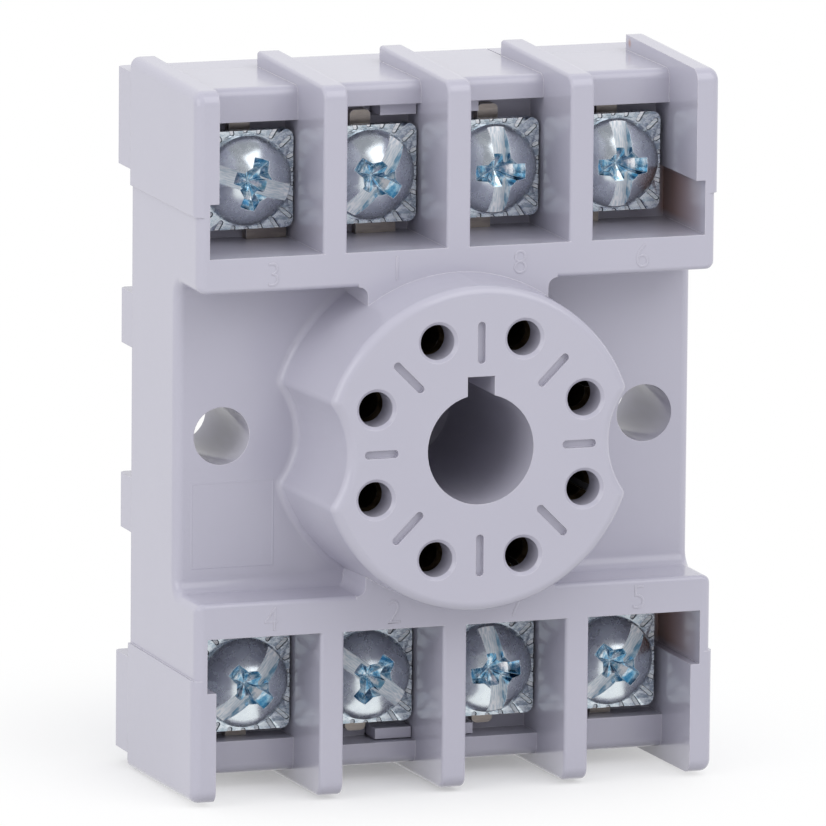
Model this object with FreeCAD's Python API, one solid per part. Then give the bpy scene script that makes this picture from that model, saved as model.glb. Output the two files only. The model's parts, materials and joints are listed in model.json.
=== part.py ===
import FreeCAD, Part
import math
import os
from FreeCAD import Vector

# Relay socket with eight screw terminals around a round eight-pin boss.
# Millimetres. X runs to the right, Z up, and the front looks along -Y.
# The origin is the centre of the plane that the feet share, which lies on the panel.

# Body
width = 40.6
height = 52.8
body_depth = 15.4
foot_depth = 3.4
edge_round = 0.7
end_round = 1.0
end_draft_deg = 1.3
bar_edge_round = 0.35
cove_round = 1.0
end_step = 0.2
end_step_from_bar = 3.1

# Terminal bays: four above the boss and four below it
bays_per_row = 4
row_margin = 1.2
barrier_wall = 1.85
barrier_round = 0.25
side_wall = 1.8
side_wall_at_bar = 1.1
relief_length = 4.05
bar_wall = 2.6
bay_length = 9.0
end_wall = 2.5
end_wall_notch = 0.8
shelf_inset = 0.8
shelf_depth = 6.0
shelf_round = 0.7
bay_depth = 8.9
bay_floor = 1.6

# Ledge at both sides of the boss, with the two mounting holes
ledge_depth = 5.2
ledge_wall = 2.8
mount_inset = 3.8
mount_hole_d = 4.3
mount_tube_wall = 1.4

# Boss that the relay plugs into
boss_d = 24.1
boss_proud = 5.2
boss_draft_deg = 2.5
boss_edge_round = 0.7
boss_foot_round = 0.5
boss_waist = 20.2
scallop_horn_round = 0.6
web_half_width = 7.0
web_round = 0.7
pin_circle_d = 17.45
pin_count = 8
pin_hole_d = 2.6
pin_hole_lead = 0.25
pin_hole_wall = 2.5
key_bore_d = 8.2
key_tube_wall = 1.9
keyway_width = 2.1
keyway_reach = 5.4
mark_width = 0.6
mark_depth = 0.4
mark_inner_r = 6.35
mark_outer_r = 9.45
mark_outer_r_beside_scallop = 8.95

# Rear cover, staked into the back of the body
cover_wall = 2.0
cover_rim = 1.2
cover_end_rim = 1.2
fit_gap = 0.1
foot_slot = 36.7
foot_side_inset = 0.1
foot_chamfer = 0.3
pad_height = 4.1
pad_width = 6.4
pad_side_inset = 0.4
stake_inset = 3.5
stake_below_bar = 0.6
stake_d = 2.4
stake_head_d = 3.6
stake_head_height = 0.7
rail_lip = 1.0
rail_lip_gap = 0.25
hook_reach = 1.7
hook_nose = 0.86
hook_half_width = 6.0
latch_half_length = 10.0
latch_slot = 1.3
post_d = 3.2
tongue_tab_gap = 0.35
tongue_wall = 0.8
tongue_top_depth = 6.8
tongue_catch = 0.35
tongue_gap = 0.1

# Terminal strips and the sprung contacts on their inner ends
strip_wall = 0.9
strip_side_gap = 0.85
strip_pad_length = 5.8
strip_pad_round = 0.6
strip_neck_width = 3.1
strip_tab_width = 1.6
strip_tab_reach = 0.2
strip_tab_offset = 0.2
inner_neck_margin = 1.225
outer_neck_margin = 0.175
outer_neck_bend_below_bar = 2.0
strip_end_d = 4.2
contact_d = 3.8
contact_bore_d = 2.5
contact_slit = 0.5
contact_foot_wall = 0.8
contact_cavity_gap = 0.2
contact_mouth = 0.8
contact_lip = 0.2

# Pressure plates and screws
screw_from_bar = 4.65
plate_side_gap = 0.2
plate_wall = 0.8
plate_corner_round = 0.65
plate_lip = 0.25
plate_lift = 0.8
plate_hole_gap = 0.08
shank_d = 3.5
shank_room = 0.5
shank_tip_chamfer = 0.4
plate_border = 0.3
screw_head_height = 2.7
screw_head_rim = 0.5
screw_tip_gap = 1.2
slot_width = 1.15
slot_depth = 1.25
recess_span = 4.0
recess_floor_span = 1.7
recess_width = 1.3
recess_depth = 2.1

# Which way each screw's slot points at rest, in degrees from +X towards +Z
slot_angles_deg = {1: 54.0, 2: -17.0, 3: 46.0, 4: -37.0, 5: 97.0, 6: 49.0, 7: 90.0, 8: 90.0}

# Terminals stand in these columns, from left to right
top_row = [2, 1, 8, 7]
bottom_row = [3, 4, 5, 6]

half_width = width / 2
half_height = height / 2
rear_half_height = half_height + body_depth * math.tan(math.radians(end_draft_deg))
y_front = -(body_depth + foot_depth)
y_body_back = -foot_depth
y_foot = 0.0
over = 1.0


def depth(distance):
    """Y of a plane that lies this far behind the front of the bars."""
    return y_front + distance


y_ledge = depth(ledge_depth)
y_boss = depth(-boss_proud)
y_strip_front = depth(bay_depth - strip_wall)
y_strip_back = depth(bay_depth)
y_floor_back = depth(bay_depth + bay_floor)
y_roof = depth(ledge_depth + ledge_wall)
y_cover_front = depth(body_depth - cover_wall)
y_plate_back = y_strip_front - plate_lift
y_plate_front = y_plate_back - plate_wall

# From the ends inwards: the shelf, the bays and the bars that carry the boss between them
shelf_z = half_height - shelf_inset
end_wall_z = shelf_z - end_wall
bar_outer_z = end_wall_z - bay_length
bar_inner_z = bar_outer_z - bar_wall
screw_z = bar_outer_z + screw_from_bar

# Across the bays, and what has to fit in them
bay_pitch = (width - 2 * row_margin) / bays_per_row
bay_width = bay_pitch - barrier_wall
plate_size = bay_width - 2 * plate_side_gap
screw_head_d = plate_size - 2 * plate_border
screw_length = y_cover_front - screw_tip_gap - y_plate_front
strip_pad_width = bay_width - 2 * strip_side_gap

# Mounting holes, the boss between them, and the back of the cover
mount_x = half_width - mount_inset
scallop_r = mount_x - boss_waist / 2
stake_x = half_width - stake_inset
stake_z = bar_inner_z - stake_below_bar
pad_z = stake_z - stake_head_d / 2 - fit_gap - pad_height
foot_z = foot_slot / 2
latch_beam = (shelf_z - cover_end_rim - fit_gap - foot_z - latch_slot) / 2
pin_r = pin_circle_d / 2
key_tube_r = key_bore_d / 2 + key_tube_wall
mount_tube_r = mount_hole_d / 2 + mount_tube_wall


def box(x0, x1, y0, y1, z0, z1):
    """Box between two corners."""
    low = Vector(min(x0, x1), min(y0, y1), min(z0, z1))
    return Part.makeBox(abs(x1 - x0), abs(y1 - y0), abs(z1 - z0), low)


def rod(x, z, radius, y0, y1):
    """Cylinder along Y."""
    return Part.makeCylinder(radius, y1 - y0, Vector(x, y0, z), Vector(0, 1, 0))


def taper(x, z, radius0, radius1, y0, y1):
    """Cone along Y, radius0 at y0 and radius1 at y1."""
    return Part.makeCone(radius0, radius1, y1 - y0, Vector(x, y0, z), Vector(0, 1, 0))


def joined(shapes):
    """One solid from pieces that touch, without leftover seams."""
    shape = shapes[0].multiFuse(shapes[1:])
    return shape.removeSplitter()


def outline(corners):
    """Closed wire through (point, radius) corners, each rounded by its radius."""
    count = len(corners)
    starts = []
    edges = []
    for i in range(count):
        point, radius = corners[i]
        before = (corners[i - 1][0] - point).normalize()
        after = (corners[(i + 1) % count][0] - point).normalize()
        if radius == 0:
            starts.append((point, point))
            continue
        half_angle = before.getAngle(after) / 2
        run = radius / math.tan(half_angle)
        middle = (before + after).normalize()
        centre = point + middle * (radius / math.sin(half_angle))
        arc_start = point + before * run
        arc_end = point + after * run
        arc_middle = centre - middle * radius
        edges.append(Part.Arc(arc_start, arc_middle, arc_end).toShape())
        starts.append((arc_start, arc_end))
    for i in range(count):
        leave = starts[i][1]
        reach = starts[(i + 1) % count][0]
        if (reach - leave).Length > 1e-6:
            edges.append(Part.makeLine(leave, reach))
    return Part.Wire(Part.__sortEdges__(edges))


def prism(corners, direction):
    """Solid swept straight from a rounded outline."""
    return Part.Face(outline(corners)).extrude(direction)


def plate_xz(corners, y0, y1):
    """Flat piece: (x, z, radius) corners, from y0 to y1."""
    placed = [(Vector(x, y0, z), radius) for x, z, radius in corners]
    return prism(placed, Vector(0, y1 - y0, 0))


def rectangle_xz(x0, x1, z0, z1, radius, y0, y1):
    """Flat piece with four equal corner radii."""
    corners = [(x0, z0, radius), (x1, z0, radius), (x1, z1, radius), (x0, z1, radius)]
    return plate_xz(corners, y0, y1)


def edges_where(shape, test):
    """Edges whose middle point and run, from end to end, pass the test."""
    found = []
    for edge in shape.Edges:
        middle = edge.valueAt((edge.FirstParameter + edge.LastParameter) / 2)
        run = edge.valueAt(edge.LastParameter) - edge.valueAt(edge.FirstParameter)
        if test(middle, run):
            found.append(edge)
    return found


def near(a, b):
    """True where two lengths are the same."""
    return abs(a - b) < 1e-4


def column_x(column):
    """X of a terminal column, counted from the left."""
    return (column - (bays_per_row - 1) / 2) * bay_pitch


def terminals():
    """Number, x and side (+1 above the boss, -1 below it) of every terminal."""
    places = []
    for column in range(bays_per_row):
        places.append((top_row[column], column_x(column), 1))
        places.append((bottom_row[column], column_x(column), -1))
    return sorted(places)


def is_outer(x):
    """True for the columns beside the outer walls."""
    return abs(x) > bay_pitch


def bay_sides(x):
    """Where a bay's room ends: in the middle of a barrier, or at an outer wall."""
    near_side = abs(x) - bay_pitch / 2
    far_side = half_width - side_wall if is_outer(x) else abs(x) + bay_pitch / 2
    return math.copysign(near_side, x), math.copysign(far_side, x)


def pin_place(number):
    """X and Z of a relay pin: pin 1 is left of the keyway and the count runs on around."""
    angle = math.radians(90 + (number - 0.5) * 360 / pin_count)
    return pin_r * math.cos(angle), pin_r * math.sin(angle)


def end_wall_face(x):
    """Inner face of a bay's end wall, where the middle bays are notched."""
    return end_wall_z if is_outer(x) else end_wall_z + end_wall_notch


def neck_x(x):
    """X of the neck that leads a strip out of its bay."""
    margin = outer_neck_margin if is_outer(x) else inner_neck_margin
    near_face = abs(x) - bay_width / 2
    return math.copysign(near_face + margin + strip_neck_width / 2, x)


def tab_x(x):
    """X of the tab on the outer end of a strip."""
    return x if is_outer(x) else x + math.copysign(strip_tab_offset, x)


def body_form(half_x):
    """Outer form: bars above and below a lower ledge, taller at the back by the end draft."""
    corners = []
    for side in (1, -1):
        face = [
            (rear_half_height, y_body_back, 0),
            (half_height, y_front, end_round),
            (bar_inner_z, y_front, bar_edge_round),
            (bar_inner_z, y_ledge, cove_round),
        ]
        if side < 0:
            face.reverse()
        corners += [(Vector(-half_x, y, side * z), radius) for z, y, radius in face]
    form = prism(corners, Vector(2 * half_x, 0, 0))

    def on_side_front(middle, run):
        return near(abs(middle.x), half_x) and middle.y < y_body_back - over

    return form.makeFillet(edge_round, edges_where(form, on_side_front))


def barrier(x, side):
    """Barrier between two bays, with its free edges rounded."""
    half = barrier_wall / 2
    z_root = side * (bar_outer_z - over)
    block = box(x - half, x + half, y_front, y_body_back, z_root, side * rear_half_height)
    wall = block.common(body_form(half_width))

    def is_free(middle, run):
        on_front = middle.y < y_front + end_round
        return near(abs(middle.x - x), half) and (on_front or abs(middle.z) > half_height)

    return wall.makeFillet(barrier_round, edges_where(wall, is_free))


def boss_radius(y):
    """Radius of the drafted boss at a depth."""
    return boss_d / 2 + (y - y_boss) * math.tan(math.radians(boss_draft_deg))


def boss_form():
    """Drafted round boss with a scallop around each mounting hole."""
    slope = math.tan(math.radians(boss_draft_deg))
    height_over_ledge = y_ledge - y_boss
    boss = taper(0, 0, boss_d / 2, boss_radius(y_ledge), y_boss, y_ledge)
    for side in (1, -1):
        x = side * mount_x
        start = scallop_r + over * slope
        end = scallop_r - height_over_ledge * slope
        boss = boss.cut(taper(x, 0, start, end, y_boss - over, y_ledge))

    def is_horn(middle, run):
        return abs(run.y) > boss_proud and abs(middle.x) > boss_d / 4

    boss = boss.makeFillet(scallop_horn_round, edges_where(boss, is_horn))
    boss = boss.makeFillet(boss_edge_round, edges_where(boss, lambda middle, run: near(middle.y, y_boss)))
    reach = boss_d
    root = box(-reach, reach, y_ledge, y_ledge + over, -reach, reach)
    boss = joined([boss, root])

    def is_foot(middle, run):
        return near(middle.y, y_ledge) and max(abs(middle.x), abs(middle.z)) < reach - over

    boss = boss.makeFillet(boss_foot_round, edges_where(boss, is_foot))
    keep_x = half_width - side_wall
    keep = box(-keep_x, keep_x, y_boss - over, y_ledge + over, -bar_outer_z, bar_outer_z)
    return boss.common(keep)


def web_form(side):
    """Web that joins a bar to the boss, with its inner corners filled by coves."""
    inner = boss_d / 4
    z_bar = side * bar_inner_z
    web = box(-web_half_width, web_half_width, y_front, y_ledge, side * inner, z_bar + side * over)
    pieces = [web]
    for x in (-web_half_width, web_half_width):
        out = math.copysign(web_round, x)
        corner = box(x, x + out, y_front, y_ledge, z_bar - side * web_round, z_bar + side * bar_edge_round)
        hollow = rod(x + out, z_bar - side * web_round, web_round, y_front - over, y_ledge + over)
        pieces.append(corner.cut(hollow))
    return joined(pieces)


def mark_slot(angle_deg, outer_r):
    """Short round-ended groove between two pin holes."""
    half = mark_width / 2
    y0 = y_boss - over
    y1 = y_boss + mark_depth
    groove = rectangle_xz(mark_inner_r, outer_r, -half, half, half * 0.98, y0, y1)
    groove.rotate(Vector(0, 0, 0), Vector(0, 1, 0), -angle_deg)
    return groove


def housing():
    """Moulded body: bars, barriers, ledge, boss and the room for metal behind them."""
    narrow = body_form(half_width - end_step)
    wide = body_form(half_width)
    pieces = [narrow, boss_form()]
    for side in (1, -1):
        z_step = side * (bar_outer_z + end_step_from_bar)
        end = box(-width, width, y_boss, y_foot, z_step, side * height)
        pieces += [web_form(side), wide.common(end)]
    body = joined(pieces)

    cuts = []
    for number, x, side in terminals():
        x_near, x_far = bay_sides(x)
        z_bar = side * bar_outer_z
        z_end = side * end_wall_face(x)
        z_out = side * (rear_half_height + over)
        cuts.append(box(x_near, x_far, y_front - over, y_strip_back, z_bar, z_end))
        cuts.append(box(x_near, x_far, y_front - over, depth(shelf_depth), z_end - side * over, z_out))
        cuts.append(box(x_near, x_far, y_front - over, y_foot, side * shelf_z, z_out))
        if is_outer(x):
            x_thin = math.copysign(half_width - side_wall_at_bar, x)
            z_relief = z_bar + side * relief_length
            cuts.append(box(x_far, x_thin, y_front - over, y_strip_back, z_bar, z_relief))
    body = body.cut(Part.makeCompound(cuts))

    def is_shelf_edge(middle, run):
        on_edge = near(middle.y, depth(shelf_depth)) and near(abs(middle.z), shelf_z)
        return on_edge and abs(run.x) > barrier_wall

    body = body.removeSplitter()
    body = body.makeFillet(shelf_round, edges_where(body, is_shelf_edge))
    barriers = []
    for i in range(1, bays_per_row):
        x = column_x(i - 0.5)
        barriers += [barrier(x, 1), barrier(x, -1)]
    body = joined([body] + barriers)

    pocket_x = half_width - side_wall
    recess_x = half_width - cover_rim
    recess_z = shelf_z - cover_end_rim
    room = [
        box(-recess_x, recess_x, y_cover_front, y_foot, -recess_z, recess_z),
        box(-pocket_x, pocket_x, y_floor_back, y_foot, -end_wall_z, end_wall_z),
        box(-pocket_x, pocket_x, y_roof, y_foot, -bar_inner_z, bar_inner_z),
    ]
    body = body.cut(joined(room))

    posts = []
    lip_x = bay_pitch - barrier_wall / 2
    lip_z = shelf_z - cover_end_rim
    for side in (1, -1):
        posts.append(box(-lip_x, lip_x, y_body_back - over, y_foot, side * lip_z, side * shelf_z))
        posts.append(rod(side * mount_x, 0, mount_tube_r, y_roof - over, y_body_back))
        for up in (1, -1):
            posts.append(stake(side * stake_x, up * stake_z))
    posts.append(rod(0, 0, key_tube_r, y_roof - over, y_cover_front))
    body = joined([body] + posts)

    holes = []
    for number, x, side in terminals():
        holes.append(strip_slot(x, side))
        if not is_outer(x):
            holes.append(tongue(x, side, tongue_gap, y_strip_back - over, y_cover_front + over))
        holes.append(rod(x, side * screw_z, shank_d / 2 + shank_room, y_strip_front, y_floor_back + over))
        pin_x, pin_z = pin_place(number)
        strip_end_r = strip_end_d / 2 + fit_gap
        holes.append(rod(pin_x, pin_z, strip_end_r, y_strip_front, y_floor_back + over))
        cavity_r = contact_d / 2 + contact_cavity_gap
        y_wall = y_boss + pin_hole_wall
        holes.append(rod(pin_x, pin_z, cavity_r, y_wall, y_roof + over))
        holes.append(rod(pin_x, pin_z, pin_hole_d / 2, y_boss - over, y_wall + over))
        lead = pin_hole_d / 2 + pin_hole_lead
        holes.append(taper(pin_x, pin_z, lead, pin_hole_d / 2, y_boss, y_boss + pin_hole_lead))
    for side in (1, -1):
        holes.append(rod(side * mount_x, 0, mount_hole_d / 2, y_ledge - over, y_foot))
    half_key = keyway_width / 2
    bore = rod(0, 0, key_bore_d / 2, y_boss - over, y_cover_front + over)
    keyway = box(-half_key, half_key, y_boss - over, y_cover_front + over, 0, keyway_reach)
    holes.append(joined([bore, keyway]))
    for i in range(pin_count):
        angle = i * 360 / pin_count
        level = near(math.sin(math.radians(angle)), 0)
        holes.append(mark_slot(angle, mark_outer_r_beside_scallop if level else mark_outer_r))
    return body.cut(Part.makeCompound(holes))


def stake(x, z):
    """Moulded post that passes through the cover and is headed over behind it."""
    y_head = y_body_back + stake_head_height
    post = rod(x, z, stake_d / 2, y_roof - over, y_head)
    head = taper(x, z, stake_head_d / 2, stake_d / 2, y_body_back, y_head)
    return joined([post, head])


def strip_slot(x, side):
    """Slot under a bar that lets a strip's neck out of its bay."""
    half = strip_neck_width / 2 + fit_gap
    centre = neck_x(x)
    z0 = side * (bar_inner_z - over)
    z1 = side * (bar_outer_z + over)
    return box(centre - half, centre + half, y_strip_front - fit_gap, y_strip_back, z0, z1)


def tongue(x, side, gap, y0, y1):
    """Snap tongue beside the middle barrier, or with a gap the window it passes through."""
    tab_side = abs(tab_x(x)) - strip_tab_width / 2
    x0 = math.copysign(barrier_wall / 2 + tongue_gap - gap, x)
    x1 = math.copysign(tab_side - tongue_tab_gap + gap, x)
    z1 = side * (end_wall_face(x) - tongue_gap + gap)
    z0 = side * (end_wall_face(x) - tongue_gap - tongue_wall - gap)
    return box(x0, x1, y0, y1, z0, z1)


def snap_tongue(x, side):
    """Tongue of the cover, with a catch that rests on the floor of the bay."""
    y_mid = y_cover_front + cover_wall / 2
    stem = tongue(x, side, 0, depth(tongue_top_depth), y_mid)
    reach = tongue_wall + tongue_catch
    z0 = side * (end_wall_face(x) - tongue_gap)
    x0 = math.copysign(barrier_wall / 2 + tongue_gap, x)
    run = tab_x(x) - math.copysign(strip_tab_width / 2 + tongue_tab_gap, x) - x0
    corners = [
        (Vector(x0, y_strip_front, z0), 0),
        (Vector(x0, y_strip_front, z0 - side * tongue_wall), 0),
        (Vector(x0, y_strip_back, z0 - side * reach), 0),
        (Vector(x0, y_strip_back, z0), 0),
    ]
    catch = prism(corners, Vector(run, 0, 0))
    return joined([stem, catch])


def rear_cover():
    """Back plate with two feet, four pads, rail hooks and the posts that hold the strips."""
    plate_x = half_width - cover_rim - fit_gap
    plate_z = shelf_z - cover_end_rim - fit_gap
    pieces = [box(-plate_x, plate_x, y_cover_front, y_body_back, -plate_z, plate_z)]
    foot_x = half_width - foot_side_inset
    for up in (1, -1):
        pieces.append(box(-foot_x, foot_x, y_body_back, y_foot, up * foot_z, up * shelf_z))
        for side in (1, -1):
            pad_x = side * (half_width - pad_side_inset)
            inner_x = pad_x - side * pad_width
            z0 = up * pad_z
            pieces.append(box(inner_x, pad_x, y_body_back, y_foot, z0, z0 + up * pad_height))
        pieces.append(rail_hook(up))
    for number, x, side in terminals():
        if not is_outer(x):
            pieces.append(snap_tongue(x, side))
        pin_x, pin_z = pin_place(number)
        pieces.append(rod(pin_x, pin_z, post_d / 2, y_strip_back, y_cover_front + cover_wall / 2))
    cover = joined(pieces)

    def is_foot_edge(middle, run):
        return near(middle.y, y_foot) and abs(middle.x) > half_width - pad_side_inset - over

    cover = cover.makeChamfer(foot_chamfer, edges_where(cover, is_foot_edge))

    cuts = []
    lip_x = bay_pitch - barrier_wall / 2 + fit_gap
    lip_z = shelf_z - cover_end_rim - fit_gap
    for up in (1, -1):
        z_out = up * (shelf_z + over)
        cuts.append(box(-lip_x, lip_x, y_body_back - over, y_foot + over, up * lip_z, z_out))
    for side in (1, -1):
        x = side * mount_x
        cuts.append(rod(x, 0, mount_tube_r + fit_gap, y_cover_front - over, y_foot + over))
        for up in (1, -1):
            hole_r = stake_d / 2 + fit_gap
            cuts.append(rod(side * stake_x, up * stake_z, hole_r, y_cover_front - over, y_foot))
    beam_z = -(foot_z + latch_beam)
    latch = latch_half_length
    cuts.append(box(-latch, latch, y_cover_front - over, y_foot + over, beam_z, beam_z - latch_slot))
    y_beam = y_body_back + fit_gap
    cuts.append(box(-latch, latch, y_cover_front - over, y_beam, -foot_z + over / 2, beam_z))
    return cover.cut(Part.makeCompound(cuts))


def rail_hook(up):
    """Nose on a foot that reaches behind the edge of a mounting rail."""
    y_catch = y_body_back + rail_lip + rail_lip_gap
    y_ramp = y_catch + hook_nose
    corners = [
        (Vector(-hook_half_width, y_catch, up * (foot_z + over)), 0),
        (Vector(-hook_half_width, y_catch, up * (foot_z - hook_reach)), 0),
        (Vector(-hook_half_width, y_ramp, up * (foot_z - hook_reach)), 0),
        (Vector(-hook_half_width, y_foot, up * foot_z), 0),
        (Vector(-hook_half_width, y_foot, up * (foot_z + over)), 0),
    ]
    return prism(corners, Vector(2 * hook_half_width, 0, 0))


def neck_bar(x0, z0, x1, z1):
    """Flat bar of the neck's width between two points."""
    length = math.hypot(x1 - x0, z1 - z0)
    half = strip_neck_width / 2
    bar = box(0, length, y_strip_front, y_strip_back, -half, half)
    bar.rotate(Vector(0, 0, 0), Vector(0, 1, 0), -math.degrees(math.atan2(z1 - z0, x1 - x0)))
    bar.translate(Vector(x0, 0, z0))
    return bar


def terminal_strip(number, x, side):
    """Flat strip from under the screw, through the bar, to the relay pin."""
    pin_x, pin_z = pin_place(number)
    half_pad = strip_pad_width / 2
    tab = tab_x(x)
    half_tab = strip_tab_width / 2
    z0 = side * (screw_z - strip_pad_length / 2)
    z1 = side * (screw_z + strip_pad_length / 2)
    neck = neck_x(x)
    bend_z = side * (bar_inner_z - outer_neck_bend_below_bar) if is_outer(x) else pin_z
    z_tab = side * (end_wall_z + (0 if is_outer(x) else strip_tab_reach))
    tab_low = min(z_tab, z1 - side * over)
    tab_high = max(z_tab, z1 - side * over)
    tab_round = 0 if is_outer(x) else strip_tab_width / 4
    pad_low = min(z0, z1)
    pad_high = max(z0, z1)
    faces = (y_strip_front, y_strip_back)
    pieces = [
        rectangle_xz(x - half_pad, x + half_pad, pad_low, pad_high, strip_pad_round, *faces),
        neck_bar(neck, z0 + side * over, neck, bend_z),
        rod(pin_x, pin_z, strip_end_d / 2, *faces),
        rectangle_xz(tab - half_tab, tab + half_tab, tab_low, tab_high, tab_round, *faces),
    ]
    if is_outer(x):
        pieces.append(neck_bar(neck, bend_z, pin_x, pin_z))
        pieces.append(rod(neck, bend_z, strip_neck_width / 2, y_strip_front, y_strip_back))
    strip = joined(pieces)
    hole_r = shank_d / 2 + plate_hole_gap
    return strip.cut(rod(x, side * screw_z, hole_r, y_strip_front - over, y_strip_back + over))


def pin_contact(number):
    """Slit spring sleeve that grips one relay pin, on a round foot."""
    x, z = pin_place(number)
    y_mouth = y_boss + pin_hole_wall + contact_cavity_gap
    y_foot_front = y_strip_front - contact_foot_wall
    sleeve = rod(x, z, contact_d / 2, y_mouth, y_strip_front)
    bore_r = contact_bore_d / 2
    flare_r = contact_d / 2 - contact_lip
    bore = rod(x, z, bore_r, y_mouth - over, y_foot_front)
    flare = taper(x, z, flare_r, bore_r, y_mouth, y_mouth + contact_mouth)
    angle = math.degrees(math.atan2(z, x))
    half_slit = contact_slit / 2
    slit = box(0, contact_d, y_mouth - over, y_foot_front - over, -half_slit, half_slit)
    slit.rotate(Vector(0, 0, 0), Vector(0, 1, 0), -angle)
    slit.translate(Vector(x, 0, z))
    return sleeve.cut(Part.makeCompound([joined([bore, flare]), slit]))


def pressure_plate(x, side):
    """Square plate captive under a screw head, with its two side edges turned down."""
    half = plate_size / 2
    z = side * screw_z
    y_lip = y_plate_back + plate_lip
    plate = rectangle_xz(x - half, x + half, z - half, z + half, plate_corner_round, y_plate_front, y_lip)
    inner = half - plate_wall
    under = box(x - inner, x + inner, y_plate_back, y_lip + over, z - half - over, z + half + over)
    hole = rod(x, z, shank_d / 2 + plate_hole_gap, y_plate_front - over, y_lip + over)
    return plate.cut(Part.makeCompound([under, hole]))


def terminal_screw(number, x, side):
    """Dome-headed screw with a slot across a cross recess."""
    z = side * screw_z
    head_r = screw_head_d / 2
    y_seat = y_plate_front
    y_top = y_seat - screw_head_height
    y_rim = y_seat - screw_head_rim
    dome = screw_head_height - screw_head_rim
    sphere_r = (head_r ** 2 + dome ** 2) / (2 * dome)
    ball = Part.makeSphere(sphere_r, Vector(x, y_top + sphere_r, z))
    cap = ball.common(rod(x, z, head_r, y_top - over, y_rim))
    rim = rod(x, z, head_r, y_rim, y_seat)
    y_tip = y_seat + screw_length
    y_chamfer = y_tip - shank_tip_chamfer
    shank = rod(x, z, shank_d / 2, y_seat, y_chamfer)
    tip = taper(x, z, shank_d / 2, shank_d / 2 - shank_tip_chamfer, y_chamfer, y_tip)
    blank = joined([cap, rim, shank, tip])

    half_slot = slot_width / 2
    slot = box(-head_r - over, head_r + over, y_top - over, y_top + slot_depth, -half_slot, half_slot)
    cross = []
    for turn in (0, 90):
        half_span = recess_span / 2
        half_floor = recess_floor_span / 2
        y_open = y_top - over * 0.5
        flare = (half_span - half_floor) * 0.5 / recess_depth
        corners = [
            (Vector(-half_span - flare, y_open, -recess_width / 2), 0),
            (Vector(half_span + flare, y_open, -recess_width / 2), 0),
            (Vector(half_floor, y_top + recess_depth, -recess_width / 2), 0),
            (Vector(-half_floor, y_top + recess_depth, -recess_width / 2), 0),
        ]
        arm = prism(corners, Vector(0, 0, recess_width))
        arm.rotate(Vector(0, 0, 0), Vector(0, 1, 0), turn)
        cross.append(arm)
    drive = joined([slot] + cross)
    drive.rotate(Vector(0, 0, 0), Vector(0, 1, 0), -slot_angles_deg[number])
    drive.translate(Vector(x, 0, z))
    return blank.cut(drive)


def save(name, shape):
    """Write one piece, after a look that it is a single sound solid."""
    solids = len(shape.Solids)
    print(name, "solids", solids, "valid", shape.isValid(), "volume", round(shape.Volume, 2))
    piece = shape.Solids[0] if solids == 1 else shape
    piece.exportStep("parts/" + name + ".step")


def main():
    os.makedirs("parts", exist_ok=True)
    save("housing", housing())
    save("rear_cover", rear_cover())
    for number, x, side in terminals():
        save("terminal_strip_" + str(number), terminal_strip(number, x, side))
        save("pin_contact_" + str(number), pin_contact(number))
        save("pressure_plate_" + str(number), pressure_plate(x, side))
        save("terminal_screw_" + str(number), terminal_screw(number, x, side))


main()
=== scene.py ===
# %% [markdown]
# # A relay socket, from its fixed frame to its finished look
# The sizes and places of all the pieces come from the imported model, which is the frame of this
# scene and is never moved. What is added here is what the eye looks for next: the glossy moulded
# skin, the plated screws with their combined slot and cross, the grooved pressure plates and the
# small raised terminal numbers. Everything is in metres, with X to the right and Z up, and the
# front of the socket looks along -Y.

# %% Load the frame
import json
import math
import bmesh
import bpy
from mathutils import Matrix, Vector

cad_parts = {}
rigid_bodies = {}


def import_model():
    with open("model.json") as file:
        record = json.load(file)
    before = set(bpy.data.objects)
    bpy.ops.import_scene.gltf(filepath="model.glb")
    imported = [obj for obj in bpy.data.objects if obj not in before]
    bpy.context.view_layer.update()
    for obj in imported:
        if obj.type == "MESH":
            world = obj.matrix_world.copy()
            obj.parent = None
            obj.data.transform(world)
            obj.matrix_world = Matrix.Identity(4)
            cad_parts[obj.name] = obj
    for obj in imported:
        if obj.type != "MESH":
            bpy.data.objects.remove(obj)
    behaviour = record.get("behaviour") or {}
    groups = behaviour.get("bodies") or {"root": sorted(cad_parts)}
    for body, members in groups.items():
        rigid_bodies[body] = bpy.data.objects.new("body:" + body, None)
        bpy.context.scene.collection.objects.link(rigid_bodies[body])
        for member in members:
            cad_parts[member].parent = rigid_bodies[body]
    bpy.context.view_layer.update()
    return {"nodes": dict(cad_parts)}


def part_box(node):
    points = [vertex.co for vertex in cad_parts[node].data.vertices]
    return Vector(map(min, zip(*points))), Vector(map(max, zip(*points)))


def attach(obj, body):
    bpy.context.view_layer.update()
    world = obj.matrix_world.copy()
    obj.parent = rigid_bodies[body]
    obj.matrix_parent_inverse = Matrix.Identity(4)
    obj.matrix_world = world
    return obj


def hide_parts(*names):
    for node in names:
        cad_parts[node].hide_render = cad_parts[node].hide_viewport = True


for leftover in list(bpy.data.objects):
    bpy.data.objects.remove(leftover)
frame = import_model()
nodes = frame["nodes"]

# %% Sizes that the later cells share
MM = 0.001
TERMINALS = range(1, 9)

boss_proud = 5.2 * MM
housing_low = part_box("housing")[0]
y_front = housing_low.y + boss_proud
print("front of the bars at", round(y_front / MM, 2), "mm")

# %% [markdown]
# ## Shader helpers
# A material is a small graph of nodes. Two helpers keep the recipes readable: one adds a node and
# sets its plain values, the other links one socket to another. Wherever an effect serves more than
# one material it becomes a node group, which is built once and placed with other values each time.

# %% Helpers for node trees
def put(tree, kind, inputs=None, **settings):
    """Add a node, set its settings, and set its input sockets to plain values."""
    node = tree.nodes.new(kind)
    for name, value in settings.items():
        setattr(node, name, value)
    for name, value in (inputs or {}).items():
        node.inputs[name].default_value = value
    return node


def join(tree, source, target):
    """Link an output socket to an input socket."""
    tree.links.new(source, target)


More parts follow.
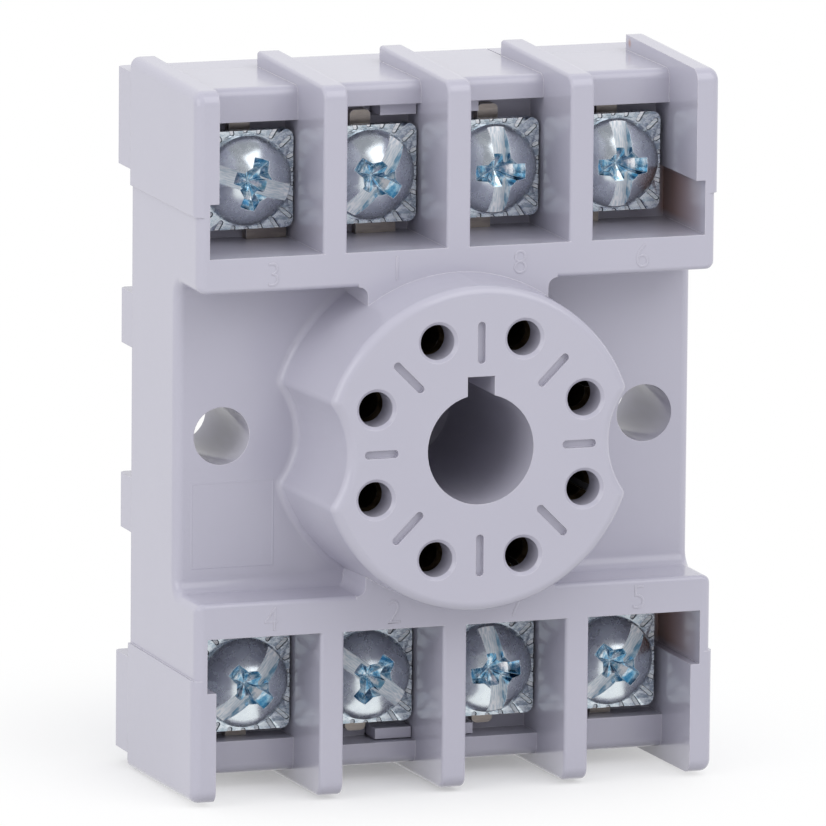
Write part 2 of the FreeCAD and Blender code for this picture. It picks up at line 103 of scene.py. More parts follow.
def math_node(tree, operation, a, b=None, clamp=False):
    """Math node on sockets or numbers, and its output."""
    node = put(tree, "ShaderNodeMath", operation=operation, use_clamp=clamp)
    for i, value in enumerate((a, b)):
        if value is None:
            continue
        if isinstance(value, (int, float)):
            node.inputs[i].default_value = value
        else:
            join(tree, value, node.inputs[i])
    return node.outputs[0]


def blend_colours(tree, factor, a, b):
    """Mix two colours, each a socket or a plain colour, by a factor."""
    node = put(tree, "ShaderNodeMix", data_type="RGBA")
    for value, socket in ((factor, node.inputs[0]), (a, node.inputs[6]), (b, node.inputs[7])):
        if isinstance(value, (int, float, tuple)):
            socket.default_value = value
        else:
            join(tree, value, socket)
    return node.outputs[2]


def srgb(red, green, blue):
    """Linear colour from the 0 to 255 numbers of a colour picker."""
    def linear(value):
        share = value / 255
        return share / 12.92 if share <= 0.04045 else ((share + 0.055) / 1.055) ** 2.4
    return (linear(red), linear(green), linear(blue), 1.0)


def new_group(name, inputs, outputs):
    """Empty shader node group with named float inputs and typed outputs."""
    group = bpy.data.node_groups.new(name, "ShaderNodeTree")
    for label, value in inputs.items():
        socket = group.interface.new_socket(label, in_out="INPUT", socket_type="NodeSocketFloat")
        socket.default_value = value
    for label, kind in outputs.items():
        group.interface.new_socket(label, in_out="OUTPUT", socket_type="NodeSocket" + kind)
    start = group.nodes.new("NodeGroupInput")
    end = group.nodes.new("NodeGroupOutput")
    return group, start.outputs, end.inputs


def place_group(tree, group, **values):
    """Put a group into a material, with its own values for the inputs."""
    node = put(tree, "ShaderNodeGroup", node_tree=group)
    for label, value in values.items():
        node.inputs[label.replace("_", " ")].default_value = value
    return node.outputs


# %% [markdown]
# ## Rounded edges and the look of an edge
# No real edge is knife sharp: a mould or a die leaves a radius of a tenth of a millimetre, and it
# is that thin line which catches the light. It could be modelled with a bevel on every edge, but
# the frame's meshes are kept as they are. The Bevel node rounds the shading normal instead. Where
# its normal turns away from the flat one there is an edge, and that difference is a mask that
# paints a highlight into the colour of the edges, on plastic and on metal.

# %% Group: soft edges
edge_gain = 5.0
soft_edges, given, result = new_group(
    "soft_edges", {"Radius": 0.0001}, {"Edge": "Float", "Normal": "Vector"})
bevel = put(soft_edges, "ShaderNodeBevel", samples=6)
join(soft_edges, given["Radius"], bevel.inputs["Radius"])
flat = put(soft_edges, "ShaderNodeNewGeometry")
likeness = put(soft_edges, "ShaderNodeVectorMath", operation="DOT_PRODUCT")
join(soft_edges, bevel.outputs[0], likeness.inputs[0])
join(soft_edges, flat.outputs["Normal"], likeness.inputs[1])
turned = math_node(soft_edges, "SUBTRACT", 1.0, likeness.outputs["Value"])
join(soft_edges, math_node(soft_edges, "MULTIPLY", turned, edge_gain, clamp=True), result["Edge"])
join(soft_edges, bevel.outputs[0], result["Normal"])
print("group", soft_edges.name, "has", len(soft_edges.nodes), "nodes")

# %% [markdown]
# ## Moulded skin
# The housing is injection moulded in a polished tool. Its skin is glossy, yet not a mirror: it has
# a faint unevenness some tenths of a millimetre wide, and slow clouds of tone where the melt
# flowed. Both are noise textures on the piece's own coordinates, so they stay on the plastic when
# a body moves.

# %% Group: moulded skin
moulded_skin, given, result = new_group(
    "moulded_skin",
    {"Cloud size": 90.0, "Ripple size": 900.0, "Ripple depth": 0.000004, "Edge radius": 0.0001},
    {"Cloud": "Float", "Edge": "Float", "Normal": "Vector"})
place = put(moulded_skin, "ShaderNodeTexCoord")
cloud = put(moulded_skin, "ShaderNodeTexNoise", {"Detail": 2.0, "Roughness": 0.5})
join(moulded_skin, place.outputs["Object"], cloud.inputs["Vector"])
join(moulded_skin, given["Cloud size"], cloud.inputs["Scale"])
ripple = put(moulded_skin, "ShaderNodeTexNoise", {"Detail": 3.0, "Roughness": 0.55})
join(moulded_skin, place.outputs["Object"], ripple.inputs["Vector"])
join(moulded_skin, given["Ripple size"], ripple.inputs["Scale"])
edges = put(moulded_skin, "ShaderNodeGroup", node_tree=soft_edges)
join(moulded_skin, given["Edge radius"], edges.inputs["Radius"])
bump = put(moulded_skin, "ShaderNodeBump", {"Strength": 1.0})
join(moulded_skin, ripple.outputs[0], bump.inputs["Height"])
join(moulded_skin, given["Ripple depth"], bump.inputs["Distance"])
join(moulded_skin, edges.outputs["Normal"], bump.inputs["Normal"])
join(moulded_skin, cloud.outputs[0], result["Cloud"])
join(moulded_skin, edges.outputs["Edge"], result["Edge"])
join(moulded_skin, bump.outputs[0], result["Normal"])
print("group", moulded_skin.name, "has", len(moulded_skin.nodes), "nodes")

# %% [markdown]
# ## Masks by place
# Some marks on the housing belong to places and not to a texture. A box mask answers "how far
# inside this box am I" from the piece's own coordinates, with a soft margin, so a mark needs no
# picture and stays on its spot when the body moves.

# %% Helper: soft box mask
def axis_mask(tree, value, low, high, margin):
    """Rises from 0 to 1 inside low..high, over a margin at both ends."""
    rise = put(tree, "ShaderNodeMapRange", {"From Min": low - margin, "From Max": low + margin})
    rise.interpolation_type = "SMOOTHSTEP"
    fall = put(tree, "ShaderNodeMapRange", {"From Min": high + margin, "From Max": high - margin})
    fall.interpolation_type = "SMOOTHSTEP"
    join(tree, value, rise.inputs["Value"])
    join(tree, value, fall.inputs["Value"])
    return math_node(tree, "MULTIPLY", rise.outputs[0], fall.outputs[0])


def box_mask(tree, xyz, low, high, margin):
    """Soft mask of a box, from three coordinate sockets."""
    masks = [axis_mask(tree, xyz[i], low[i], high[i], margin) for i in range(3)]
    return math_node(tree, "MULTIPLY", math_node(tree, "MULTIPLY", masks[0], masks[1]), masks[2])


# %% [markdown]
# ## The two plastics
# Body and rear cover are the same pale lavender-grey family. A Principled shader with a roughness
# of about 0.2 and a plain plastic IOR gives the soft mirror seen in the ledge. Base colour carries
# the clouds and a painted highlight on the edges, and the clouds vary the roughness a little too.

# %% Plastic recipe
# Painted highlight: the edges of the plastic are lightened towards this colour.
painted_plastic_highlight = srgb(228, 225, 233)
plastic_highlight_share = 0.75
cloud_roughness = 0.1


def plastic(name, colour, tint, roughness, skin_values):
    """Glossy moulded plastic, without its marks: the material, its colour socket and shader."""
    material = bpy.data.materials.new(name)
    material.use_nodes = True
    tree = material.node_tree
    shader = tree.nodes["Principled BSDF"]
    skin = place_group(tree, moulded_skin, **skin_values)
    clouded = blend_colours(tree, skin["Cloud"], colour, tint)
    # Painted highlight: the edge mask lightens the base colour at the edges.
    highlight_share = math_node(tree, "MULTIPLY", skin["Edge"], plastic_highlight_share)
    highlighted_colour = blend_colours(tree, highlight_share, clouded, painted_plastic_highlight)
    spread = math_node(tree, "MULTIPLY", skin["Cloud"], cloud_roughness)
    lowest = roughness - cloud_roughness / 2
    join(tree, math_node(tree, "ADD", spread, lowest), shader.inputs["Roughness"])
    join(tree, skin["Normal"], shader.inputs["Normal"])
    join(tree, highlighted_colour, shader.inputs["Base Color"])
    shader.inputs["IOR"].default_value = 1.5
    return material, tree, highlighted_colour, shader


# %% Body plastic
body_plastic, tree, body_colour, shader = plastic(
    "body_plastic", srgb(182, 180, 194), srgb(188, 186, 199), 0.17,
    {"Cloud_size": 85.0, "Ripple_size": 420.0, "Ripple_depth": 0.000016, "Edge_radius": 0.00009})
place = put(tree, "ShaderNodeTexCoord")
split = put(tree, "ShaderNodeSeparateXYZ")
join(tree, place.outputs["Object"], split.inputs[0])
x, y, z = split.outputs[0], split.outputs[1], split.outputs[2]
print("body plastic starts with", len(tree.nodes), "nodes")

# %% [markdown]
# ## Two marks and a painted glow on the body
# The side walls are thinned beside the outer bays, and light comes through them warm and brown;
# here that light is painted into the plastic's colour, browner deeper in. At the top of the
# right-hand wall the melt burnt in a single speck. On the left ledge the tool had a loose block,
# which left the faint outline of a rectangle. The first two blend a colour into the plastic, and
# the outline stands up a little, so it is a bump.

# %% Painted glow of the thinned walls
thin_wall_low = Vector((19.0, -18.0, 14.3)) * MM
thin_wall_high = Vector((19.6, -8.0, 18.0)) * MM
glow_margin = 0.5 * MM
glow_depth = 7 * MM
painted_glow_brown = srgb(146, 100, 74)

height = math_node(tree, "ABSOLUTE", z)
thin_wall = box_mask(tree, (x, y, height), thin_wall_low, thin_wall_high, glow_margin)
deeper = put(tree, "ShaderNodeMapRange", {"From Min": y_front, "From Max": y_front + glow_depth})
join(tree, y, deeper.inputs["Value"])
# Painted glow: the light through the thin walls is blended into the colour, browner deeper in.
glow = math_node(tree, "MULTIPLY", thin_wall, deeper.outputs[0])
warm = blend_colours(tree, glow, body_colour, painted_glow_brown)
print("glow between", round(thin_wall_low.x / MM, 1), "and", round(thin_wall_high.x / MM, 1), "mm")

# %% Burnt speck
speck_place = Vector((18.46, -4.2, 26.2)) * MM
speck_rim = 0.42 * MM
speck_core = 0.12 * MM
speck_strength = 0.55
burnt_orange = srgb(176, 112, 72)

away = put(tree, "ShaderNodeVectorMath", operation="DISTANCE")
join(tree, place.outputs["Object"], away.inputs[0])
away.inputs[1].default_value = speck_place
speck = put(tree, "ShaderNodeMapRange", {"From Min": speck_rim, "From Max": speck_core})
join(tree, away.outputs["Value"], speck.inputs["Value"])
speck_share = math_node(tree, "MULTIPLY", speck.outputs[0], speck_strength)
join(tree, blend_colours(tree, speck_share, warm, burnt_orange), shader.inputs["Base Color"])
print("speck", round(2 * speck_rim / MM, 2), "mm across")

# %% Witness line of the loose block
block_centre = (-15.61 * MM, -6.65 * MM)
block_half = (3.14 * MM, 3.15 * MM)
line_rim = 0.09 * MM
line_core = 0.02 * MM
line_height = 0.012 * MM
ledge_depth = 5.2 * MM
ledge_reach = 0.1 * MM
y_ledge = y_front + ledge_depth

sides = []
for value, centre, half in ((x, block_centre[0], block_half[0]), (z, block_centre[1], block_half[1])):
    offset = math_node(tree, "ABSOLUTE", math_node(tree, "SUBTRACT", value, centre))
    sides.append(math_node(tree, "SUBTRACT", offset, half))
from_line = math_node(tree, "ABSOLUTE", math_node(tree, "MAXIMUM", sides[0], sides[1]))
line = put(tree, "ShaderNodeMapRange", {"From Min": line_rim, "From Max": line_core})
join(tree, from_line, line.inputs["Value"])
on_ledge = axis_mask(tree, y, y_ledge - ledge_reach, y_ledge + ledge_reach, ledge_reach / 2)
witness = put(tree, "ShaderNodeBump", {"Strength": 1.0, "Distance": line_height})
join(tree, math_node(tree, "MULTIPLY", line.outputs[0], on_ledge), witness.inputs["Height"])
join(tree, shader.inputs["Normal"].links[0].from_socket, witness.inputs["Normal"])
join(tree, witness.outputs[0], shader.inputs["Normal"])
print("outline on the ledge at", round(y_ledge / MM, 2), "mm, body plastic has", len(tree.nodes), "nodes")

# %% Cover plastic
cover_plastic = plastic(
    "cover_plastic", srgb(181, 179, 193), srgb(189, 187, 200), 0.2,
    {"Cloud_size": 70.0, "Ripple_size": 600.0, "Ripple_depth": 0.000008, "Edge_radius": 0.00005})[0]
nodes["housing"].material_slots[0].material = body_plastic
nodes["rear_cover"].material_slots[0].material = cover_plastic
print("plastics:", body_plastic.name, "and", cover_plastic.name)

# %% [markdown]
# ## Plated metal
# Zinc and tin plating are thin skins over stamped steel or brass. Close up they show a fine grain
# and streaks that run one way, from the roll or the die. The group stretches a noise along one
# axis of the piece and gives it out as a tone and as a bump, together with the rounded edges. A
# smooth step between two levels of the noise parts it into light and dark patches.

# %% Group: plated skin
dark_level = 0.36
light_level = 0.64
plated_skin, given, result = new_group(
    "plated_skin",
    {"Grain size": 1500.0, "Streak": 0.15, "Depth": 0.000004, "Edge radius": 0.00006},
    {"Tone": "Float", "Edge": "Float", "Normal": "Vector"})
place = put(plated_skin, "ShaderNodeTexCoord")
stretch = put(plated_skin, "ShaderNodeCombineXYZ", {"Y": 1.0, "Z": 1.0})
join(plated_skin, given["Streak"], stretch.inputs["X"])
streaked = put(plated_skin, "ShaderNodeVectorMath", operation="MULTIPLY")
join(plated_skin, place.outputs["Object"], streaked.inputs[0])
join(plated_skin, stretch.outputs[0], streaked.inputs[1])
grain = put(plated_skin, "ShaderNodeTexNoise", {"Detail": 4.0, "Roughness": 0.6})
join(plated_skin, streaked.outputs[0], grain.inputs["Vector"])
join(plated_skin, given["Grain size"], grain.inputs["Scale"])
edges = put(plated_skin, "ShaderNodeGroup", node_tree=soft_edges)
join(plated_skin, given["Edge radius"], edges.inputs["Radius"])
bump = put(plated_skin, "ShaderNodeBump", {"Strength": 1.0})
join(plated_skin, grain.outputs[0], bump.inputs["Height"])
join(plated_skin, given["Depth"], bump.inputs["Distance"])
join(plated_skin, edges.outputs["Normal"], bump.inputs["Normal"])
crisp = put(plated_skin, "ShaderNodeMapRange", {"From Min": dark_level, "From Max": light_level})
crisp.interpolation_type = "SMOOTHSTEP"
join(plated_skin, grain.outputs[0], crisp.inputs["Value"])
join(plated_skin, crisp.outputs[0], result["Tone"])
join(plated_skin, edges.outputs["Edge"], result["Edge"])
join(plated_skin, bump.outputs[0], result["Normal"])
print("group", plated_skin.name, "has", len(plated_skin.nodes), "nodes")

# %% [markdown]
# ## The metals
# A mirror shows only what stands around it, so an edge or a lined floor made of pure metal would
# turn dark in front of a dark room. Here the edges get a painted highlight: a pale colour, with
# some Metallic taken away, so they stay pale from every side. The floor of the slot is a painted
# highlight too, near-white with hardly any Metallic. The drive recess keeps the blue of its
# passivated zinc.

# %% Metal recipe
# Painted highlight: the edges of the metal are lightened towards this colour and made less metallic.
painted_metal_highlight = srgb(240, 243, 246)
metal_highlight_gain = 2.0
metal_highlight_dulling = 0.7


def plated(name, dark, light, roughness, roughness_spread, skin_values, metallic=1.0):
    """Metal with a plated skin: tone between two colours, with a painted highlight on the edges."""
    material = bpy.data.materials.new(name)
    material.use_nodes = True
    tree = material.node_tree
    shader = tree.nodes["Principled BSDF"]
    skin = place_group(tree, plated_skin, **skin_values)
    toned = blend_colours(tree, skin["Tone"], dark, light)
    # Painted highlight: the edge mask lightens the colour and lowers Metallic at the edges.
    highlight_share = math_node(tree, "MULTIPLY", skin["Edge"], metal_highlight_gain, clamp=True)
    join(tree, blend_colours(tree, highlight_share, toned, painted_metal_highlight), shader.inputs["Base Color"])
    dull_share = math_node(tree, "MULTIPLY", highlight_share, -metal_highlight_dulling * metallic)
    join(tree, math_node(tree, "ADD", dull_share, metallic), shader.inputs["Metallic"])
    spread = math_node(tree, "MULTIPLY", skin["Tone"], roughness_spread)
    join(tree, math_node(tree, "ADD", spread, roughness), shader.inputs["Roughness"])
    join(tree, skin["Normal"], shader.inputs["Normal"])
    return material


# %% The metals of this socket
dome_zinc = plated(
    "dome_zinc", srgb(216, 224, 230), srgb(226, 234, 238), 0.22, 0.08,
    {"Grain_size": 1500.0, "Streak": 1.0, "Depth": 0.0000015, "Edge_radius": 0.00004})
drive_zinc = plated(
    "drive_zinc", srgb(112, 168, 196), srgb(252, 254, 255), 0.07, 0.1,
    {"Grain_size": 1500.0, "Streak": 0.8, "Depth": 0.00001, "Edge_radius": 0.00005})
# Painted highlight: the floors of the slot and of the grooves are near-white and hardly metallic.
slot_zinc_painted_highlight = plated(
    "slot_zinc_painted_highlight", srgb(208, 219, 227), srgb(254, 254, 255), 0.3, 0.16,
    {"Grain_size": 6000.0, "Streak": 0.015, "Depth": 0.000008, "Edge_radius": 0.00005}, metallic=0.05)
plate_zinc = plated(
    "plate_zinc", srgb(158, 172, 184), srgb(226, 234, 240), 0.16, 0.2,
    {"Grain_size": 3200.0, "Streak": 0.5, "Depth": 0.000006, "Edge_radius": 0.00003})
# Painted shade: the walls of the grooves are coloured dark.
groove_zinc_painted_shade = plated(
    "groove_zinc_painted_shade", srgb(58, 68, 78), srgb(96, 108, 118), 0.3, 0.2,
    {"Grain_size": 3200.0, "Streak": 0.5, "Depth": 0.000006, "Edge_radius": 0.00001})
tinned_strip = plated(
    "tinned_strip", srgb(158, 148, 142), srgb(194, 184, 174), 0.3, 0.16,
    {"Grain_size": 1800.0, "Streak": 0.2, "Depth": 0.000005, "Edge_radius": 0.00005}, metallic=0.6)
# Painted shade: the contacts are coloured dark brown for the shade deep in the pin holes.
contact_metal_painted_shade = plated(
    "contact_metal_painted_shade", srgb(92, 80, 62), srgb(122, 108, 84), 0.42, 0.14,
    {"Grain_size": 1800.0, "Streak": 0.25, "Depth": 0.000004, "Edge_radius": 0.00005})
for number in TERMINALS:
    nodes[f"terminal_strip_{number}"].material_slots[0].material = tinned_strip
    nodes[f"pin_contact_{number}"].material_slots[0].material = contact_metal_painted_shade
metals = (dome_zinc, drive_zinc, slot_zinc_painted_highlight, plate_zinc, groove_zinc_painted_shade, tinned_strip, contact_metal_painted_shade)
print("metals:", [metal.name for metal in metals])

# %% [markdown]
# ## Mesh helpers
# The screws and plates are cut by dies, so they are made here as a tool maker would: a blank, and
# a punch that is taken out of it with a Boolean. The work is done in millimetres, because a
# Boolean is happiest with numbers near one, and the finished mesh is scaled to metres. A loft
# through a few rings of equal count makes every punch.

# %% Helpers for meshes
def mesh_from(name, points, faces):
    """Mesh from points and faces, with its normals outside."""
    mesh = bpy.data.meshes.new(name)
    mesh.from_pydata(points, [], faces)
    build = bmesh.new()
    build.from_mesh(mesh)
    bmesh.ops.recalc_face_normals(build, faces=build.faces)
    build.to_mesh(mesh)
    build.free()
    return mesh


def loft(name, rings):
    """Closed solid through rings of equal count, capped at both ends."""
    count = len(rings[0])
    points = [point for ring in rings for point in ring]
    faces = [list(range(count)), list(range(len(points) - count, len(points)))]
    for level in range(len(rings) - 1):
        for i in range(count):
            a = level * count + i
            b = level * count + (i + 1) % count
            faces.append([a, b, b + count, a + count])
    return mesh_from(name, points, faces)


def punched(blank, punches):
    """What is left of a blank mesh after the punches are taken out of it."""
    carrier = bpy.data.objects.new("blank", blank)
    bpy.context.scene.collection.objects.link(carrier)
    tools = []
    for punch in punches:
        tool = bpy.data.objects.new("punch", punch)
        bpy.context.scene.collection.objects.link(tool)
        tools.append(tool)
        cut = carrier.modifiers.new("cut", "BOOLEAN")
        cut.operation = "DIFFERENCE"
        cut.solver = "EXACT"
        cut.material_mode = "TRANSFER"
        cut.object = tool
    bpy.context.view_layer.update()
    graph = bpy.context.evaluated_depsgraph_get()
    result = bpy.data.meshes.new_from_object(carrier.evaluated_get(graph), depsgraph=graph)
    for leftover in [carrier] + tools:
        bpy.data.objects.remove(leftover)
    return result


def smooth_by_angle(mesh, degrees):
    """Smooth shading, with sharp edges kept where faces meet at more than this angle."""
    mesh.shade_smooth()
    mesh.set_sharp_from_angle(angle=math.radians(degrees))


# %% [markdown]
# ## The screw
# A dome head, a slot right across it and a cross recess in its middle, so that either driver fits.
# The blank is a lathe job: a profile turned about the axis, with the thread as a wave that climbs
# one pitch per turn. The slot's floor is arched, so its walls run out to nothing at the rim. The
# cross is a tapered punch whose four corners are cut by facets, and it is these facets that flash
# in the light. Each punch brings its own materials to the faces that it cuts: fine lines and a
# painted highlight along the floor of the slot, and bright plating on the slot's walls and in the
# cross. One turn of this thread lifts the screw by the pitch that the joint has.

# %% Sizes of the screw, in millimetres
screw_low, screw_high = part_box("terminal_screw_1")
head_radius = (screw_high.x - screw_low.x) / 2 / MM
head_height = 2.7
head_rim = 0.5
rim_chamfer = 0.08
neck_margin = 0.1
screw_length = (screw_high.y - screw_low.y) / MM - head_height
shank_radius = 1.75
thread_root = 1.36
thread_pitch = 0.794
thread_start = 0.9
thread_run_in = 0.5 * thread_pitch
crest_flat_gain = 1.15
tip_chamfer = 0.4
dome_height = head_height - head_rim
dome_radius = (head_radius ** 2 + dome_height ** 2) / (2 * dome_height)
slot_half = 0.64
slot_middle_depth = 1.45
slot_arch_radius = 11.0
slot_angles = {1: 54, 2: -17, 3: 46, 4: -37, 5: 97, 6: 49, 7: 90, 8: 90}
print("head", round(2 * head_radius, 2), "mm across, length under it", round(screw_length, 2), "mm")


# %% Blank of the screw, turned
def head_profile():
    """Radius and height of the head, from the top of the dome to the seat."""
    rows = []
    steps = 14
    reach = math.asin(head_radius / dome_radius)
    for i in range(1, steps + 1):
        angle = reach * i / steps
        rows.append((dome_radius * math.sin(angle), head_height - dome_radius * (1 - math.cos(angle))))
    rows.append((head_radius, rim_chamfer))
    rows.append((head_radius - rim_chamfer, 0.0))
    rows.append((shank_radius + neck_margin, 0.0))
    return rows


def thread_radius(angle, height):
    """Radius of the thread at a turn and a height below the seat."""
    phase = (-height / thread_pitch - angle / (2 * math.pi)) % 1.0
    wave = min(1.0, crest_flat_gain * (1 - abs(2 * phase - 1)))
    top = min(1.0, max(0.0, (-height - thread_start) / thread_run_in))
    tip = min(1.0, max(0.0, (screw_length + height) / tip_chamfer))
    crest = shank_radius - tip_chamfer * (1 - tip)
    root = min(thread_root, crest)
    return crest - (crest - root) * (1 - wave) * top


def screw_blank(turns=64, rows_per_pitch=10):
    """Head and threaded shank as one closed lathe mesh."""
    rows = [[(radius, height)] * turns for radius, height in head_profile()]
    step = thread_pitch / rows_per_pitch
    count = int(screw_length / step)
    for i in range(count + 1):
        height = -screw_length * i / count
        angles = [2 * math.pi * k / turns for k in range(turns)]
        rows.append([(thread_radius(angle, height), height) for angle in angles])
    points = [(0.0, 0.0, head_height)]
    for row in rows:
        for k, (radius, height) in enumerate(row):
            angle = 2 * math.pi * k / turns
            points.append((radius * math.cos(angle), radius * math.sin(angle), height))
    points.append((0.0, 0.0, -screw_length))
    faces = []
    last = len(points) - 1
    for k in range(turns):
        after = (k + 1) % turns
        faces.append([0, 1 + k, 1 + after])
        faces.append([last, last - turns + after, last - turns + k])
        for level in range(len(rows) - 1):
            a = 1 + level * turns + k
            b = 1 + level * turns + after
            faces.append([a, a + turns, b + turns, b])
    return mesh_from("screw_blank", points, faces)


# %% Punches of the slot and the cross
punch_overrun = 0.5
punch_headroom = 1.0
wall_facing = 0.7
arm_point = 0.04


def slot_punch():
    """Bar across the head with an arched underside, whose side walls take its second material."""
    reach = head_radius + punch_overrun
    steps = 24
    top = head_height + punch_headroom
    rings = []
    for i in range(steps + 1):
        along = -reach + 2 * reach * i / steps
        floor = head_height - slot_middle_depth - along ** 2 / (2 * slot_arch_radius)
        ring = [(along, -slot_half, top), (along, slot_half, top)]
        rings.append(ring + [(along, slot_half, floor), (along, -slot_half, floor)])
    punch = loft("slot_punch", rings)
    for face in punch.polygons:
        face.material_index = 1 if abs(face.normal.y) > wall_facing else 0
    return punch


def cross_ring(depth, arm_end, end_half, corner, root_half):
    """Outline of the cross at a depth below the top of the dome."""
    arm = [(corner, -root_half), (arm_end, -end_half), (arm_end + arm_point, 0.0)]
    arm += [(arm_end, end_half), (corner, root_half)]
    ring = []
    for quarter in range(4):
        turn = Matrix.Rotation(quarter * math.pi / 2, 2)
        for x, y in arm:
            point = turn @ Vector((x, y))
            ring.append((point.x, point.y, head_height - depth))
    return ring


def cross_punch():
    """Tapered cross with facets in its four corners and a pointed floor."""
    # Each ring has its depth, the end of the arm, half the width there, the inner corner, and half
    # the width at the root of the arm.
    rings = [
        cross_ring(-0.3, 2.5, 0.68, 1.30, 0.69),
        cross_ring(0.6, 1.9, 0.57, 1.00, 0.58),
        cross_ring(1.5, 1.25, 0.46, 0.68, 0.48),
        cross_ring(2.25, 0.05, 0.02, 0.03, 0.02),
    ]
    return loft("cross_punch", rings)


# %% Cut one screw, and use its mesh for all eight
screw_smooth_degrees = 22
blank = screw_blank()
slot_mesh = slot_punch()
cross_mesh = cross_punch()
blank.materials.append(dome_zinc)
slot_mesh.materials.append(slot_zinc_painted_highlight)
slot_mesh.materials.append(drive_zinc)
cross_mesh.materials.append(drive_zinc)
screw_mesh = punched(blank, [slot_mesh, cross_mesh])
screw_mesh.transform(Matrix.Scale(MM, 4))
smooth_by_angle(screw_mesh, screw_smooth_degrees)
print("screw has", len(screw_mesh.polygons), "faces and materials",
      [m.name if m else None for m in screw_mesh.materials])


# %% Set the screws in their places
def middle_of(node):
    """Middle of a node's box, from the frame."""
    low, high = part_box(node)
    return (low + high) / 2


def standing_on_front(x, y, z, degrees=0.0):
    """Matrix that turns a piece made on +Z to look along -Y, at a place and a turn."""
    c = math.cos(math.radians(degrees))
    s = math.sin(math.radians(degrees))
    return Matrix(((c, -s, 0, x), (0, 0, -1, y), (s, c, 0, z), (0, 0, 0, 1)))


def add_piece(name, mesh, matrix=None):
    """New object of the scene, in its place."""
    piece = bpy.data.objects.new(name, mesh)
    bpy.context.scene.collection.objects.link(piece)
    if matrix is not None:
        piece.matrix_world = matrix
    return piece


for number in TERMINALS:
    node = f"terminal_screw_{number}"
    centre = middle_of(node)
    seat_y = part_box(node)[0].y + head_height * MM
    matrix = standing_on_front(centre.x, seat_y, centre.z, slot_angles[number])
    screw = add_piece(f"screw_{number}_detailed", screw_mesh, matrix)
    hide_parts(node)
    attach(screw, f"screw_{number}")
print("screws set:", len(TERMINALS))

# %% [markdown]
# ## The pressure plate
# A square of zinc-plated steel with rounded corners. Around the head it carries short radial
# grooves that bite on the wire and lock against the screw. The plate of the frame already has the
# true form, so its mesh is copied and the grooves are punched into the copy, which then stands for
# the frame's plate. A groove shows as a bright pill with a dark outline, so its floor carries a
# painted highlight and its walls a painted shade.

# %% Sizes of the grooves, in millimetres
groove_count = 22
groove_turn = 42.0
groove_start = 3.45
groove_end = 4.65
groove_half = 0.18
groove_floor_half = 0.13
groove_depth = 0.09
groove_flare = 0.02
groove_end_slope = 0.06
groove_rise = 0.1
groove_floor_level = -0.99 * groove_depth
print(groove_count, "grooves, each", round(groove_end - groove_start, 2), "mm long")


# %% Punch for the grooves
def capsule(centre_r, half_length, half_width, height, angle):
    """Long round-ended ring that points outwards at an angle."""
    ring = []
    steps = 5
    for side in (1, -1):
        for i in range(steps + 1):
            turn = -math.pi / 2 + math.pi * i / steps
            along = side * (half_length - half_width + half_width * math.cos(turn))
            across = side * half_width * math.sin(turn)
            ring.append((centre_r + along, across))
    c = math.cos(angle)
    s = math.sin(angle)
    return [(x * c - y * s, x * s + y * c, height) for x, y in ring]


def groove_punch(angle):
    """One groove: wide at the surface and narrow at its floor."""
    centre_r = (groove_start + groove_end) / 2
    half_length = (groove_end - groove_start) / 2
    rings = [
        capsule(centre_r, half_length + groove_flare, groove_half + groove_flare, groove_rise, angle),
        capsule(centre_r, half_length, groove_half, 0.0, angle),
        capsule(centre_r, half_length - groove_end_slope, groove_floor_half, -groove_depth, angle),
    ]
    punch = loft("groove", rings)
    # Floor faces take the painted highlight, wall faces the painted shade.
    for face in punch.polygons:
        is_floor = all(punch.vertices[i].co.z < groove_floor_level for i in face.vertices)
        face.material_index = 1 if is_floor else 0
    return punch


def joined_mesh(name, parts):
    """Several meshes as one, with their shapes apart."""
    build = bmesh.new()
    for part in parts:
        build.from_mesh(part)
    mesh = bpy.data.meshes.new(name)
    build.to_mesh(mesh)
    build.free()
    return mesh


angles = [math.radians(groove_turn + i * 360 / groove_count) for i in range(groove_count)]
grooves = joined_mesh("groove_punches", [groove_punch(angle) for angle in angles])
grooves.materials.append(groove_zinc_painted_shade)
grooves.materials.append(slot_zinc_painted_highlight)

# %% Cut the grooves and set the plates
plate_smooth_degrees = 14
for number in TERMINALS:
    node = f"pressure_plate_{number}"
    centre = middle_of(node)
    front_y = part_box(node)[0].y
    matrix = standing_on_front(centre.x, front_y, centre.z)
    copy = nodes[node].data.copy()
    copy.transform(Matrix.Scale(1 / MM, 4) @ matrix.inverted())
    copy.materials.clear()
    copy.materials.append(plate_zinc)
    plate_mesh = punched(copy, [grooves])
    plate_mesh.transform(Matrix.Scale(MM, 4))
    smooth_by_angle(plate_mesh, plate_smooth_degrees)
    plate = add_piece(f"plate_{number}_grooved", plate_mesh, matrix)
    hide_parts(node)
    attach(plate, f"clamp_{number}")
print("plate has", len(plate_mesh.polygons), "faces")

# %% [markdown]
# ## Terminal numbers
# Each bar carries the number of the bay beside it, as thin raised strokes that the mould left
# standing by a few hundredths of a millimetre. They could be a bump, but real relief catches the
# light from any side, so they are text objects turned into meshes and sunk a little in the bar.
# The frame counts the bays round the pin circle, and the raised numbers are others. Those of the
# upper row can be read on the real socket. The lower row is too faint to read, so it has the four
# numbers that are left, in a guessed order, with the relay's coil pins 2 and 7 in the middle.

# %% Raised numbers
digit_height = 1.75 * MM
digit_relief = 0.03 * MM
digit_narrowing = 0.92
stroke_offset = -0.014
stroke_extrude = 0.02
bar_middle = 12.8 * MM
raised_numbers = {2: "3", 1: "1", 8: "8", 7: "6", 3: "4", 4: "2", 5: "7", 6: "5"}

